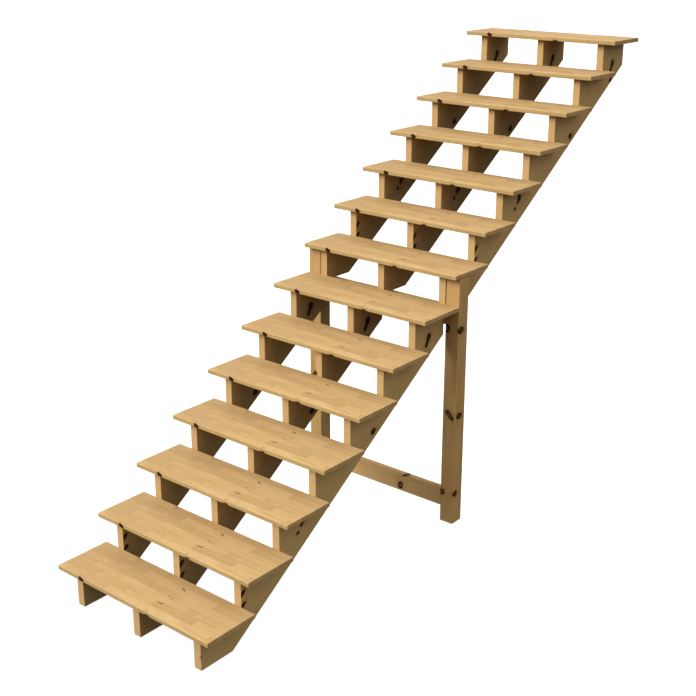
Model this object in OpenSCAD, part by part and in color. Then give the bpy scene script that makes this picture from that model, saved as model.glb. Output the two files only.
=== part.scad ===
// Wooden deck stairs: fourteen open treads on two stacked modules of three sawtooth stringers,
// with a pair of posts, a support beam and a low cross rail under the joint between the modules.
// X runs across the flight, Y runs up the flight and Z is up. The origin is on the floor, at the centre
// of the stair's footprint. Sizes are millimetres.

/* [Flight] */
// Width of the treads, from side to side
stair_w = 1000; // [800:10:1300]
// Height of one step
rise = 171; // [140:1:200]
// Going of one step, from one tread's front edge to the next
going = 252; // [210:1:300]

/* [Treads] */
// Thickness of a tread board
tread_t = 23; // [18:1:50]
// How far a tread's front edge stands out past the stringer below it
nosing = 39; // [20:1:60]
// Small bevel on the long edges of a tread
tread_bevel = 2; // [1:0.5:4]

/* [Stringers] */
// Thickness of a stringer board
stringer_t = 42; // [30:1:60]
// From the end of a tread in to the outer face of the side stringer
side_overhang = 86; // [84:1:120]
// Length of the level foot under a stringer
foot_len = 192; // [160:1:204]
// How far the upright back cut of a stringer stops short of its last tread's back edge
back_cut_gap = 9; // [6:1:30]

/* [Support frame] */
// Side of a square post, no wider than the treads' side overhang
post_w = 82; // [60:1:84]
// Small bevel on the long edges of a post
post_bevel = 3; // [1:0.5:5]
// Gap between the top of a post and the tread above it
post_top_gap = 4; // [2:1:12]
// Height of the support beam under the upper stringers' feet
beam_h = 84; // [60:1:120]
// Thickness of the low cross rail
rail_t = 28; // [18:1:60]
// Height of the low cross rail
rail_h = 104; // [60:1:140]
// From the floor up to the underside of the low cross rail
rail_z = 90; // [30:1:200]

/* [Colours] */
// Colour of the treads
tread_colour = "#dfb57c"; // color
// Colour of the stringers
stringer_colour = "#b98a55"; // color
// Colour of the posts, beam and rail
frame_colour = "#8f6c46"; // color

/* [Hidden] */
// Steps in each stringer module: the list of treads below holds one board for each of them.
lower_steps = 7;
upper_steps = 7;
tread_depth = going + nosing;
half_w = stair_w / 2;
outer_x = half_w - side_overhang;
centre_x = stringer_t / 2;
post_inner_x = half_w - post_w;
front_y = -((lower_steps + upper_steps) * going + nosing) / 2;
module_y = front_y + lower_steps * going;
module_z = lower_steps * rise;
post_y = module_y + nosing;
post_h = module_z + rise - post_top_gap;

// ---- Shared shapes ----

// Turns a side profile drawn as (y, z) points into a board that runs across the flight from x0 to x1.
module across(x0, x1, profile) {
    translate([x0, 0, 0])
        rotate([90, 0, 90])
            linear_extrude(height = x1 - x0)
                polygon(profile);
}

// Side profile of a rectangle from (0, 0) to (d, h) with all four corners bevelled by b.
function bevelled(d, h, b) = [
    [b, 0], [d - b, 0], [d, b], [d, h - b],
    [d - b, h], [b, h], [0, h - b], [0, b]
];

// Side profile of a sawtooth stringer with n steps, drawn from the front corner of its foot.
function sawtooth(n) = concat(
    [[0, 0]],
    [for (k = [1 : n]) each [
        [(k - 1) * going, k * rise],
        [k * going - (k == n ? back_cut_gap : 0), k * rise]
    ]],
    [
        [n * going - back_cut_gap, (n * going - back_cut_gap - foot_len) * rise / going],
        [foot_len, 0]
    ]
);

// ---- Treads ----

// Tread number n, counted from the bottom.
module tread(n) {
    color(tread_colour)
        translate([0, front_y + (n - 1) * going, n * rise])
            across(-half_w, half_w, bevelled(tread_depth, tread_t, tread_bevel));
}

// ---- Stringers ----

// One board of the lower module, from x0 to x1.
module lower_stringer(x0, x1) {
    color(stringer_colour)
        translate([0, front_y + nosing, 0])
            across(x0, x1, sawtooth(lower_steps));
}

// One board of the upper module, from x0 to x1.
module upper_stringer(x0, x1) {
    color(stringer_colour)
        translate([0, module_y + nosing, module_z])
            across(x0, x1, sawtooth(upper_steps));
}

module lower_left_stringer() {
    lower_stringer(-outer_x, -outer_x + stringer_t);
}

module lower_centre_stringer() {
    lower_stringer(-centre_x, centre_x);
}

module lower_right_stringer() {
    lower_stringer(outer_x - stringer_t, outer_x);
}

module upper_left_stringer() {
    upper_stringer(-outer_x, -outer_x + stringer_t);
}

module upper_centre_stringer() {
    upper_stringer(-centre_x, centre_x);
}

module upper_right_stringer() {
    upper_stringer(outer_x - stringer_t, outer_x);
}

// ---- Support frame ----

// A square post from the floor to just under the eighth tread, with its left face at x0.
module post(x0) {
    color(frame_colour)
        translate([x0, post_y, 0])
            linear_extrude(height = post_h)
                polygon(bevelled(post_w, post_w, post_bevel));
}

module left_post() {
    post(-half_w);
}

module right_post() {
    post(post_inner_x);
}

// The beam between the posts that carries the feet of the upper stringers.
module support_beam() {
    color(frame_colour)
        translate([-post_inner_x, post_y, module_z - beam_h])
            cube([2 * post_inner_x, post_w, beam_h]);
}

// The low rail between the posts, level with their front faces.
module cross_rail() {
    color(frame_colour)
        translate([-post_inner_x, post_y, rail_z])
            cube([2 * post_inner_x, rail_t, rail_h]);
}

// ---- Assembly ----

tread(1);  // tread_01
tread(2);  // tread_02
tread(3);  // tread_03
tread(4);  // tread_04
tread(5);  // tread_05
tread(6);  // tread_06
tread(7);  // tread_07
tread(8);  // tread_08
tread(9);  // tread_09
tread(10);  // tread_10
tread(11);  // tread_11
tread(12);  // tread_12
tread(13);  // tread_13
tread(14);  // tread_14
lower_left_stringer();
lower_centre_stringer();
lower_right_stringer();
upper_left_stringer();
upper_centre_stringer();
upper_right_stringer();
left_post();
right_post();
support_beam();
cross_rail();
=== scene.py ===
"""Wooden deck stairs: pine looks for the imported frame, with a pale floor, soft studio light and a camera."""

import math

import bpy
from mathutils import Matrix, Vector


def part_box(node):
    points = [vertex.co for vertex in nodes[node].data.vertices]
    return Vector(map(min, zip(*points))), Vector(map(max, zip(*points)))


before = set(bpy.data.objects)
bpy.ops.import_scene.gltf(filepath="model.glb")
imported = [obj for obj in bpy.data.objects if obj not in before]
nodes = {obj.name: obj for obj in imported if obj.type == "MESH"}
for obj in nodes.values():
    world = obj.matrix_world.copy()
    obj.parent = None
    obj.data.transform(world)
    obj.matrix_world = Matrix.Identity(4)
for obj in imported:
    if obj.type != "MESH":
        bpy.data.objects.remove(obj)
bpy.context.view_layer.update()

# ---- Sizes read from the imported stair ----

TREADS = sorted(name for name in nodes if name.startswith("tread_"))
MODULE_STEPS = len(TREADS) // 2

first_low, first_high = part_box("tread_01")
second_low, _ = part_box("tread_02")
post_low, post_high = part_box("right_post")
side_low, side_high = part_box("lower_right_stringer")

FRONT_Y = first_low.y
HALF_W = first_high.x
GOING = second_low.y - first_low.y
RISE = second_low.z - first_low.z
TREAD_D = first_high.y - first_low.y
TREAD_T = first_high.z - first_low.z
NOSING = TREAD_D - GOING
SLOPE = math.atan2(RISE, GOING)
STRINGER_T = side_high.x - side_low.x
STRINGER_X = side_high.x
POST_W = post_high.x - post_low.x
POST_Y = post_low.y

# ---- Timber ----

EDGE_ROUND = 0.0015
WELD_WITHIN = 0.00002

# A tread's panel: the strips across its depth, the staves in each, and the fingers that join the staves.
STRIPS = 6.0
STAVES_PER_METRE = 4.5
FINGER_PITCH = 0.0035

# The radius of a knot that goes right through a board, and a distance at which no knot shows.
THROUGH = 6.0
FAR = 9.0

KNOT_RIM = (0.030, 0.011, 0.003)
DARK_HEART = (0.085, 0.036, 0.011)
WARM_HEART = (0.260, 0.118, 0.034)
MARK = (0.120, 0.055, 0.020)
GLUE = (0.330, 0.185, 0.075)
TREAD_LIGHT = (0.745, 0.495, 0.225)
TREAD_DARK = (0.592, 0.363, 0.143)
BOARD_LIGHT = (0.735, 0.495, 0.206)
BOARD_DARK = (0.600, 0.372, 0.136)
POST_LIGHT = (0.705, 0.445, 0.177)
POST_DARK = (0.575, 0.330, 0.113)
RAIL_LIGHT = (0.715, 0.460, 0.192)
RAIL_DARK = (0.580, 0.343, 0.126)

# Tints multiply a colour.
KNOT_HALO_TINT = (0.80, 0.66, 0.48)
DARK_STAVE_TINT = (0.905, 0.888, 0.865)
LIGHT_STAVE_TINT = (1.085, 1.092, 1.105)
# Painted shade: a tread's front and back faces are made darker than its top.
PAINTED_TREAD_FRONT_SHADE = (0.89, 0.92, 0.85)
# Painted light: a stringer's cut faces, its fronts among them, are paler and bluer than its sides.
CUT_FACE_PAINTED_LIGHT = (1.05, 1.03, 1.10)


def tinted(colour, tint):
    return tuple(part * factor for part, factor in zip(colour, tint))


def scaled(colour, factor):
    return tinted(colour, (factor, factor, factor))


# ---- Shader formulas ----


class Term:
    """A shader socket that can be used in ordinary arithmetic."""

    def __init__(self, graph, socket):
        self.graph = graph
        self.socket = socket

    def __add__(self, other):
        return self.graph.math("ADD", self, other)

    def __radd__(self, other):
        return self.graph.math("ADD", other, self)

    def __sub__(self, other):
        return self.graph.math("SUBTRACT", self, other)

    def __rsub__(self, other):
        return self.graph.math("SUBTRACT", other, self)

    def __mul__(self, other):
        return self.graph.math("MULTIPLY", self, other)

    def __truediv__(self, other):
        return self.graph.math("DIVIDE", self, other)


class Graph:
    """Builds a node tree from formulas. x, y and z are in metres, and facing_x is 1 on a face square to X."""

    def __init__(self, tree):
        self.tree = tree
        self.tree.nodes.clear()
        coordinates = self.tree.nodes.new("ShaderNodeTexCoord")
        self.generated = Term(self, coordinates.outputs["Generated"])
        self.position = Term(self, coordinates.outputs["Object"])
        self.x, self.y, self.z = self.split(self.position)
        normal = self.split(Term(self, coordinates.outputs["Normal"]))
        self.facing_x, self.facing_y, self.facing_z = [self.math("ABSOLUTE", part) for part in normal]

    def put(self, socket, value):
        if isinstance(value, Term):
            self.tree.links.new(value.socket, socket)
        else:
            socket.default_value = value

    def math(self, operation, *values, clamp=False):
        node = self.tree.nodes.new("ShaderNodeMath")
        node.operation = operation
        node.use_clamp = clamp
        for socket, value in zip(node.inputs, values):
            self.put(socket, value)
        return Term(self, node.outputs[0])

    def split(self, vector):
        node = self.tree.nodes.new("ShaderNodeSeparateXYZ")
        self.put(node.inputs[0], vector)
        return [Term(self, socket) for socket in node.outputs]

    def vector(self, x, y, z):
        node = self.tree.nodes.new("ShaderNodeCombineXYZ")
        for socket, value in zip(node.inputs, (x, y, z)):
            self.put(socket, value)
        return Term(self, node.outputs[0])

    def ramp(self, value, start, end, low=0.0, high=1.0):
        """low at start and high at end, with a smooth turn at both."""
        node = self.tree.nodes.new("ShaderNodeMapRange")
        node.interpolation_type = "SMOOTHSTEP"
        self.put(node.inputs["Value"], value)
        rising = start < end
        node.inputs["From Min"].default_value = start if rising else end
        node.inputs["From Max"].default_value = end if rising else start
        node.inputs["To Min"].default_value = low if rising else high
        node.inputs["To Max"].default_value = high if rising else low
        return Term(self, node.outputs["Result"])

    def mix(self, amount, first, second, blend="MIX"):
        node = self.tree.nodes.new("ShaderNodeMix")
        node.data_type = "RGBA"
        node.blend_type = blend
        self.put(node.inputs["Factor"], amount)
        for socket, value in ((node.inputs[6], first), (node.inputs[7], second)):
            self.put(socket, value if isinstance(value, Term) else (*value, 1.0))
        return Term(self, node.outputs[2])

    def noise(self, vector, scale=1.0, detail=2.0, roughness=0.5):
        """Soft noise from about 0 to 1. The scale is in repeats for each unit of the vector."""
        node = self.tree.nodes.new("ShaderNodeTexNoise")
        self.put(node.inputs["Vector"], vector)
        node.inputs["Scale"].default_value = scale
        node.inputs["Detail"].default_value = detail
        node.inputs["Roughness"].default_value = roughness
        return Term(self, node.outputs["Fac"])

    def chance(self, *values):
        """One even random number from 0 to 1 for each set of three values."""
        node = self.tree.nodes.new("ShaderNodeTexWhiteNoise")
        node.noise_dimensions = "3D"
        self.put(node.inputs["Vector"], self.vector(*values))
        return Term(self, node.outputs["Value"])

    def cells(self, along, feature):
        """Uneven lengths cut from a line: a random number for each, or the distance to the nearest cut."""
        node = self.tree.nodes.new("ShaderNodeTexVoronoi")
        node.voronoi_dimensions = "1D"
        node.feature = feature
        self.put(node.inputs["W"], along)
        node.inputs["Scale"].default_value = 1.0
        node.inputs["Randomness"].default_value = 0.75
        if feature == "F1":
            return self.split(Term(self, node.outputs["Color"]))[0]
        return Term(self, node.outputs["Distance"])

    def radii_from(self, place, centre, radii, turn):
        """Distance from the centre of a stretched ball, turned about the third axis, where 1 is its skin."""
        node = self.tree.nodes.new("ShaderNodeMapping")
        node.vector_type = "TEXTURE"
        self.put(node.inputs["Vector"], place)
        node.inputs["Location"].default_value = centre
        node.inputs["Rotation"].default_value = (0.0, 0.0, turn)
        node.inputs["Scale"].default_value = radii
        length = self.tree.nodes.new("ShaderNodeVectorMath")
        length.operation = "LENGTH"
        self.tree.links.new(node.outputs[0], length.inputs[0])
        return Term(self, length.outputs["Value"])

    def nearest(self, place, spots):
        """Distance to the nearest of many stretched balls, in their own radii, up to FAR."""
        distance = FAR
        for centre, radii, turn in spots:
            distance = self.math("MINIMUM", self.radii_from(place, centre, radii, turn), distance)
        return distance

    def arris(self, *more):
        """1 on the rounds between faces and 0 on faces square to an axis, or to a direction given in more."""
        squarest = 0.0
        for part in (self.facing_x, self.facing_y, self.facing_z, *more):
            squarest = self.math("MAXIMUM", part, squarest)
        return self.ramp(squarest, 0.985, 0.90)

    def finish(self, colour, roughness, height, relief):
        """The surface itself, with the height turned into a bump that is relief metres deep."""
        surface = self.tree.nodes.new("ShaderNodeBsdfPrincipled")
        bump = self.tree.nodes.new("ShaderNodeBump")
        output = self.tree.nodes.new("ShaderNodeOutputMaterial")
        bump.inputs["Distance"].default_value = relief
        bump.inputs["Strength"].default_value = 0.6
        self.put(bump.inputs["Height"], height)
        self.put(surface.inputs["Base Color"], colour)
        self.put(surface.inputs["Roughness"], roughness)
        surface.inputs["Specular IOR Level"].default_value = 0.15
        self.tree.links.new(bump.outputs[0], surface.inputs["Normal"])
        self.tree.links.new(surface.outputs[0], output.inputs["Surface"])


def new_material(name):
    material = bpy.data.materials.new(name)
    material.use_nodes = True
    return material, Graph(material.node_tree)


# ---- Pine ----


def pine(g, place, seed, light, dark, knot, mark=FAR, curl=FAR, end_grain=0.0, arris=0.0,
         spacing=0.0042, pith=(0.02, -0.09), contrast=1.0, heart_colour=DARK_HEART):
    """Solid pine: its colour, roughness and height.

    place runs along the board, across it and through it. knot, mark and curl are the distances to the nearest
    knot, brown mark and pale swirl, in their radii. The rings lie spacing apart about the pith.
    """
    along, across, thick = g.split(place)
    ragged = (g.noise(place, 150.0, 2.0) - 0.5) * 0.6
    knot = knot + ragged
    mark = mark + ragged * 2.0
    curl = curl + ragged
    swirl = g.ramp(g.math("MINIMUM", g.math("MINIMUM", knot, mark), curl), 4.5, 0.8)

    # Growth rings, which wander along the board and bend round knots and swirls.
    shift = seed * 31.7
    drift = g.noise(g.vector(along * 1.6 + shift, across * 9.0, thick * 9.0 + shift), 1.0, 2.0)
    wave = g.noise(g.vector(along * 7.0, across * 30.0 + shift, thick * 30.0), 1.0, 1.0)
    side = across - pith[0] - (seed - 0.5) * 0.05
    depth = thick - pith[1]
    radius = g.math("SQRT", side * side + depth * depth)
    ring = g.math("FRACT", (radius + drift * 0.030 + wave * 0.0016 + swirl * 0.007) / spacing)
    late = g.ramp(ring, 0.25, 0.88) - g.ramp(ring, 0.90, 1.0)

    # Streaks and clouds of tone, fine fibres, and short resin canals.
    streak = g.noise(g.vector(along * 3.0 + shift, across * 60.0, thick * 60.0), 1.0, 3.0, 0.6)
    cloud = g.noise(g.vector(along * 5.0, across * 14.0 + shift, thick * 14.0), 1.0, 3.0, 0.6)
    fibre = g.noise(g.vector(along * 26.0, across * 900.0, thick * 900.0), 1.0, 2.0, 0.7)
    pores = g.noise(g.vector(along * 45.0, across * 1100.0 + shift, thick * 1100.0), 1.0, 0.0)
    canal = g.ramp(pores, 0.73, 0.80)

    figure = late * 0.34 - 0.10 + (streak - 0.5) * 0.95 + (cloud - 0.5) * 0.90 + (fibre - 0.5) * 0.22
    colour = g.mix(g.math("ADD", figure * contrast, 0.42, clamp=True), light, dark)
    colour = g.mix(canal * 0.30, colour, scaled(dark, 0.45))
    colour = g.mix(end_grain * 0.30, colour, scaled(dark, 0.80))

    # A pale swirl with a darker ring about it, the brown halo of a knot, and paler arrises: partly wear,
    # partly a painted highlight.
    colour = g.mix(g.ramp(curl, 2.6, 0.6) * 0.45, colour, scaled(light, 1.10))
    colour = g.mix(g.ramp(g.math("ABSOLUTE", curl - 1.3), 0.35, 0.0) * 0.40, colour, scaled(dark, 0.80))
    colour = g.mix(g.ramp(knot, 3.0, 1.0) * 0.40, colour, tinted(dark, KNOT_HALO_TINT))
    colour = g.mix(arris, colour, scaled(light, 1.28))

    # Brown marks, then knots with a dark rim and a lighter heart.
    colour = g.mix(g.ramp(mark, 1.5, 0.6) * 0.85, colour, MARK)
    inside = g.ramp(knot, 1.20, 1.00)
    heart = g.ramp(knot + (fibre - 0.5) * 0.5, 0.75, 0.35) * g.ramp(cloud, 0.32, 0.52)
    colour = g.mix(inside, colour, g.mix(heart, KNOT_RIM, heart_colour))

    # End grain and worn arrises are rougher, and a knot is smoother, with a crack at its rim.
    roughness = 0.52 + (fibre - 0.5) * 0.10 - late * 0.05 + end_grain * 0.16 + arris * 0.08 - inside * 0.12
    crack = g.ramp(g.math("ABSOLUTE", knot - 1.0), 0.22, 0.0)
    height = late * 0.35 + fibre * 0.40 - canal * 0.5 - crack * 1.6
    return colour, roughness, height


def tread_pine():
    """Edge-glued panels: strips across the depth, each made of uneven staves joined by fingers."""
    material, g = new_material("tread_pine")
    step = g.math("FLOOR", (g.z + RISE / 8.0) / RISE)
    across = g.y - FRONT_Y - (step - 1.0) * GOING
    thick = g.z - step * RISE
    place = g.vector(g.x, across, thick)

    strip = TREAD_D / STRIPS
    row = g.math("FLOOR", across / strip)
    fingers = g.math("PINGPONG", across + thick, FINGER_PITCH)
    cut = (g.x + fingers * 2.2) * STAVES_PER_METRE + row * 7.37 + 3.9
    stave = g.math("FLOOR", g.cells(cut, "F1") * 97.0)
    to_cut = g.cells(cut, "DISTANCE_TO_EDGE") / STAVES_PER_METRE
    to_glue = g.math("PINGPONG", across, strip / 2.0)

    front = -0.001
    knots = [
        ((-0.338, front, TREAD_T * 0.55), (0.0095, 0.011, 0.0100), 0.0),
        ((-0.327, front, TREAD_T * 0.40), (0.0105, 0.008, 0.0090), 0.0),
        ((0.118, front, 0.000), (0.014, 0.009, 0.0075), 0.0),
        ((-0.240, TREAD_D, TREAD_T * 0.48), (0.015, 0.012, 0.011), 0.0),
        ((-0.180, 0.205, 0.0), (0.014, 0.010, 0.008), 0.4),
        ((0.290, 0.090, 0.0), (0.016, 0.012, 0.008), -0.3),
    ]
    marks = [
        ((0.113, 0.229, TREAD_T), (0.014, 0.0042, 0.005), -0.35),
        ((0.104, 0.149, TREAD_T), (0.010, 0.0022, 0.004), -0.10),
        ((0.128, 0.142, TREAD_T), (0.006, 0.0020, 0.004), -0.10),
        ((0.113, 0.085, TREAD_T), (0.013, 0.0040, 0.005), 0.20),
        ((0.112, 0.005, TREAD_T), (0.0025, 0.006, 0.003), 0.0),
    ]
    swirls = [
        ((-0.360, 0.176, TREAD_T), (0.020, 0.010, 0.014), 0.3),
        ((-0.237, 0.195, TREAD_T), (0.024, 0.009, 0.014), -0.2),
        ((-0.290, 0.070, TREAD_T), (0.018, 0.010, 0.012), 0.0),
        ((0.330, 0.120, TREAD_T), (0.022, 0.009, 0.012), 0.0),
    ]
    colour, roughness, height = pine(
        g, place, g.chance(row, stave, 0.0), TREAD_LIGHT, TREAD_DARK, g.nearest(place, knots),
        mark=g.nearest(place, marks), curl=g.nearest(place, swirls),
        end_grain=g.ramp(g.facing_x, 0.5, 0.9), arris=g.arris() * 0.18, contrast=1.05
    )
    tint = g.mix(g.chance(row, stave, 5.0), DARK_STAVE_TINT, LIGHT_STAVE_TINT)
    # Painted shade: the tread's front and back faces are darkened against its top.
    tint = g.mix(g.ramp(g.facing_y, 0.6, 0.9), tint, PAINTED_TREAD_FRONT_SHADE)
    colour = g.mix(1.0, colour, tint, "MULTIPLY")

    # The glue lines between strips don't show on the front and back faces. The staves' joints do.
    glued = g.ramp(to_glue, 0.0008, 0.0002) * g.ramp(g.facing_y, 0.6, 0.3)
    joint = g.math("MAXIMUM", g.ramp(to_cut, 0.0009, 0.0003) * 0.55, glued * 0.45)
    colour = g.mix(joint, colour, GLUE)
    g.finish(colour, roughness, height - joint * 1.2, 0.0007)
    return material


def on_slope(y, z, x=0.0):
    """A place from a stringer's foot, turned into distances along the flight, square to it, and sideways."""
    return (y * math.cos(SLOPE) + z * math.sin(SLOPE), z * math.cos(SLOPE) - y * math.sin(SLOPE), x)


def stringer_pine(name, start_y, start_z, front_knots=(), marks=()):
    """A board cut to a sawtooth, its grain along the flight, with side knots that go right through it."""
    material, g = new_material(name)
    place = g.vector(*on_slope(g.y - start_y, g.z - start_z, g.x))
    side_knots = [
        (on_slope(y, z), (long, wide, THROUGH), turn - SLOPE)
        for y, z, long, wide, turn in (
            (0.262, 0.258, 0.022, 0.0095, 0.75),
            (0.262, 0.198, 0.021, 0.0090, 0.60),
            (0.668, 0.456, 0.018, 0.0160, 1.25),
            (0.656, 0.434, 0.012, 0.0085, 1.05),
            (0.630, 0.401, 0.010, 0.0080, 0.60),
            (1.183, 0.718, 0.018, 0.0140, 0.50),
            (1.627, 1.080, 0.021, 0.0165, 1.20),
            (1.612, 1.048, 0.020, 0.0110, 1.05),
            (1.617, 0.986, 0.015, 0.0110, 0.60),
        )
    ]
    sawn = g.ramp(g.facing_x, 0.6, 0.3)
    knot = g.math("MINIMUM", g.nearest(place, side_knots) + sawn * FAR, g.nearest(place, front_knots))
    underside = g.facing_z * math.cos(SLOPE) + g.facing_y * math.sin(SLOPE)
    seed = g.chance(g.math("FLOOR", g.x * 4.0 + 0.5), start_z, 2.0)
    colour, roughness, height = pine(
        g, place, seed, BOARD_LIGHT, BOARD_DARK, knot, mark=g.nearest(place, marks), end_grain=sawn * 0.15,
        arris=g.arris(underside) * 0.25, spacing=0.0050, pith=(0.10, -0.60), contrast=0.85
    )
    # Painted light: the cut faces are made paler and bluer than the sides.
    colour = g.mix(sawn, colour, g.mix(1.0, colour, CUT_FACE_PAINTED_LIGHT, "MULTIPLY"))
    g.finish(colour, roughness, height, 0.0007)
    return material


def post_pine():
    """Square posts. Their knots are the same on both, mirrored about the middle of the flight."""
    material, g = new_material("post_pine")
    edge = POST_W / 2.0
    across = g.math("ABSOLUTE", g.x) - (HALF_W - edge)
    place = g.vector(g.z, across, g.y - POST_Y - edge)
    knots = [
        ((1.095, 0.012 - edge, -edge), (0.020, 0.015, 0.012), 0.0),
        ((1.093, edge, 0.021 - edge), (0.017, 0.010, 0.023), 0.0),
        ((0.633, -0.008, -edge), (0.015, 0.014, 0.012), -0.6),
        ((0.621, 0.004, -edge), (0.031, 0.012, 0.012), -0.75),
        ((0.619, edge, 0.030 - edge), (0.015, 0.012, 0.023), 0.0),
        ((0.172, 0.013 - edge, -edge), (0.016, 0.014, 0.012), 0.0),
        ((0.174, edge, 0.017 - edge), (0.015, 0.010, 0.018), 0.0),
        ((0.860, -edge, 0.010), (0.013, 0.014, 0.010), 0.0),
        ((0.430, 0.010, edge), (0.016, 0.010, 0.014), 0.3),
    ]
    seed = g.chance(g.math("SIGN", g.x), 3.0, 1.0)
    colour, roughness, height = pine(
        g, place, seed, POST_LIGHT, POST_DARK, g.nearest(place, knots),
        end_grain=g.ramp(g.facing_z, 0.5, 0.9), arris=g.arris() * 0.45, spacing=0.0048,
        pith=(0.012, -0.020), contrast=1.15, heart_colour=WARM_HEART
    )
    g.finish(colour, roughness, height, 0.0008)
    return material


def rail_pine(node, knots):
    """A level board between the posts. Its knots are placed from its lower front edge."""
    material, g = new_material(node + "_pine")
    low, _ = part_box(node)
    place = g.vector(g.x, g.z - low.z, g.y - low.y)
    seed = g.chance(1.0, round(low.z * 50.0), 4.0)
    colour, roughness, height = pine(
        g, place, seed, RAIL_LIGHT, RAIL_DARK, g.nearest(place, knots),
        end_grain=g.ramp(g.facing_x, 0.5, 0.9), arris=g.arris() * 0.50, spacing=0.0052,
        pith=(0.05, -0.12), contrast=1.10, heart_colour=WARM_HEART
    )
    g.finish(colour, roughness, height, 0.0008)
    return material


def dress(node, material):
    """Gives a CAD node its material and a small round on its edges."""
    piece = nodes[node]
    piece.data.materials.clear()
    piece.data.materials.append(material)
    weld = piece.modifiers.new("weld", "WELD")
    weld.merge_threshold = WELD_WITHIN
    bevel = piece.modifiers.new("edges", "BEVEL")
    bevel.width = EDGE_ROUND
    bevel.segments = 2
    bevel.limit_method = "ANGLE"
    bevel.angle_limit = math.radians(30)


treads = tread_pine()
for name in TREADS:
    dress(name, treads)

# A knot on the lower centre board's front under the sixth tread, and a mark low on the lower right board.
foot_y = FRONT_Y + NOSING
front_knots = [(on_slope(5.0 * GOING, 0.889, -STRINGER_T / 2.0), (0.013, 0.010, 0.009), 0.0)]
foot_marks = [(on_slope(0.0, 0.068, STRINGER_X), (0.007, 0.005, 0.006), 0.0)]
lower_pine = stringer_pine("lower_stringer_pine", foot_y, 0.0, front_knots, foot_marks)
upper_pine = stringer_pine("upper_stringer_pine", foot_y + MODULE_STEPS * GOING, MODULE_STEPS * RISE)
for name in ("left", "centre", "right"):
    dress("lower_" + name + "_stringer", lower_pine)
    dress("upper_" + name + "_stringer", upper_pine)

posts = post_pine()
for name in ("left_post", "right_post"):
    dress(name, posts)

RAIL_KNOTS = {
    "cross_rail": [
        ((0.199, 0.107, 0.0), (0.034, 0.006, 0.03), 0.47),
        ((0.153, 0.031, 0.0), (0.016, 0.020, 0.03), -0.2),
        ((-0.270, 0.060, 0.0), (0.014, 0.010, 0.03), 0.1),
    ],
    "support_beam": [
        ((-0.150, 0.045, 0.0), (0.016, 0.012, 0.03), 0.2),
        ((0.260, 0.020, 0.078), (0.014, 0.011, 0.03), 0.0),
    ],
}
for name, knots in RAIL_KNOTS.items():
    dress(name, rail_pine(name, knots))

# ---- Floor ----

FLOOR_HALF_SIZE = 120.0
FLOOR_Z = -0.0005
FLOOR_COLOUR = (0.82, 0.82, 0.82)


def floor_material():
    material, g = new_material("pale_floor")
    grit = g.noise(g.position, 180.0, 2.0)
    g.finish(g.mix(grit * 0.04, FLOOR_COLOUR, scaled(FLOOR_COLOUR, 0.97)), 0.9, grit, 0.0002)
    return material


def square_plane(name, half_size, height):
    mesh = bpy.data.meshes.new(name)
    corners = ((-1.0, -1.0), (1.0, -1.0), (1.0, 1.0), (-1.0, 1.0))
    mesh.from_pydata([(x * half_size, y * half_size, height) for x, y in corners], [], [(0, 1, 2, 3)])
    piece = bpy.data.objects.new(name, mesh)
    bpy.context.scene.collection.objects.link(piece)
    return piece


# The floor sends no light back up to the stair.
floor = square_plane("floor", FLOOR_HALF_SIZE, FLOOR_Z)
floor.data.materials.append(floor_material())
floor.visible_diffuse = False
floor.visible_glossy = False

# ---- Light ----

SKY_LIGHT = 0.76
BELOW_LIGHT = 0.03

floor_only = bpy.data.collections.new("floor_only")
floor_only.objects.link(floor)
stair_only = bpy.data.collections.new("stair_only")
for piece in nodes.values():
    stair_only.objects.link(piece)


def sun(name, towards, strength, angle, lit, blocked_by=None):
    """A soft sun that shines from the direction towards on the pieces in lit."""
    data = bpy.data.lights.new(name, "SUN")
    data.energy = strength
    data.angle = math.radians(angle)
    data.cycles.max_bounces = 0
    lamp = bpy.data.objects.new(name, data)
    lamp.rotation_euler = Vector(towards).to_track_quat("Z", "Y").to_euler()
    bpy.context.scene.collection.objects.link(lamp)
    lamp.light_linking.receiver_collection = lit
    if blocked_by:
        lamp.light_linking.blocker_collection = blocked_by


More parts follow.
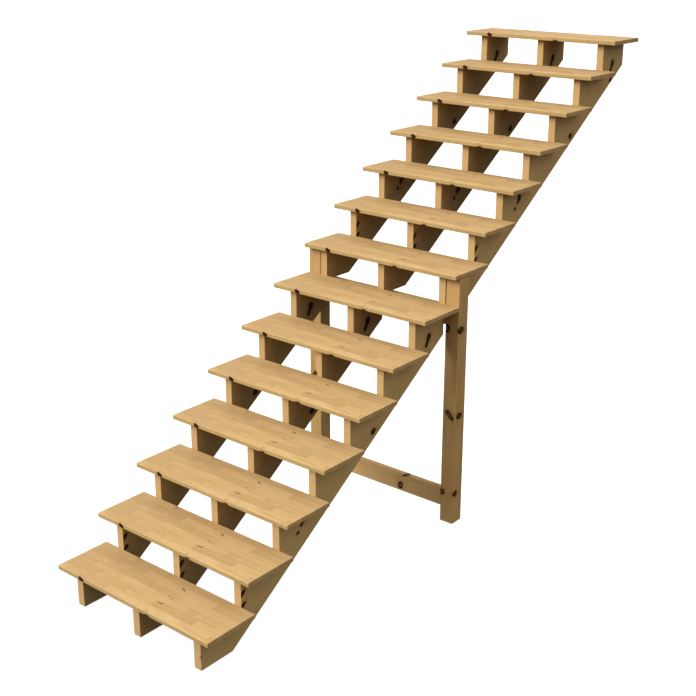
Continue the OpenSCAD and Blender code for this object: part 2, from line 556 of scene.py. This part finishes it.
def studio_world():
    """White where the camera sees it. Its light fades from overhead to almost none below the horizon."""
    world = bpy.data.worlds.new("studio")
    bpy.context.scene.world = world
    world.use_nodes = True
    tree = world.node_tree
    g = Graph(tree)
    _, _, height = g.split(g.generated)
    light = g.ramp(height, -0.02, 0.50, BELOW_LIGHT, SKY_LIGHT)
    seen = Term(g, tree.nodes.new("ShaderNodeLightPath").outputs["Is Camera Ray"])
    sky = tree.nodes.new("ShaderNodeBackground")
    output = tree.nodes.new("ShaderNodeOutputWorld")
    g.put(sky.inputs["Strength"], light + seen * (1.0 - light))
    sky.inputs["Color"].default_value = (1.0, 1.0, 1.0, 1.0)
    tree.links.new(sky.outputs[0], output.inputs["Surface"])


# A key from the front left, a weak fill from the right, and a wash that lights the floor alone.
sun("key", towards=(-0.52, -0.68, 0.52), strength=2.60, angle=32.0, lit=stair_only)
sun("fill", towards=(1.0, 0.05, 0.15), strength=0.20, angle=40.0, lit=stair_only)
sun("floor_wash", towards=(0.0, 0.0, 1.0), strength=3.4, angle=10.0, lit=floor_only, blocked_by=floor_only)
studio_world()

# ---- Camera ----

CAMERA_AT = Vector((3.6534, -4.7028, 3.0795))
AZIMUTH = math.radians(39.45)
ELEVATION = math.radians(18.73)
ROLL = math.radians(0.11)

forward = Vector(
    (
        -math.sin(AZIMUTH) * math.cos(ELEVATION),
        math.cos(AZIMUTH) * math.cos(ELEVATION),
        -math.sin(ELEVATION),
    )
)
level_right = forward.cross(Vector((0.0, 0.0, 1.0))).normalized()
level_up = level_right.cross(forward)
right = level_right * math.cos(ROLL) + level_up * math.sin(ROLL)
up = level_up * math.cos(ROLL) - level_right * math.sin(ROLL)

camera_data = bpy.data.cameras.new("camera")
camera_data.lens = 61.295
camera_data.sensor_width = 36.0
camera_data.shift_x = 0.0020
camera_data.shift_y = -0.0431
camera_data.clip_end = 400.0
camera = bpy.data.objects.new("camera", camera_data)
camera.matrix_world = Matrix.Translation(CAMERA_AT) @ Matrix((right, up, -forward)).transposed().to_4x4()
bpy.context.scene.collection.objects.link(camera)
bpy.context.scene.camera = camera

bpy.context.scene.view_settings.view_transform = "Standard"
bpy.context.scene.view_settings.look = "None"
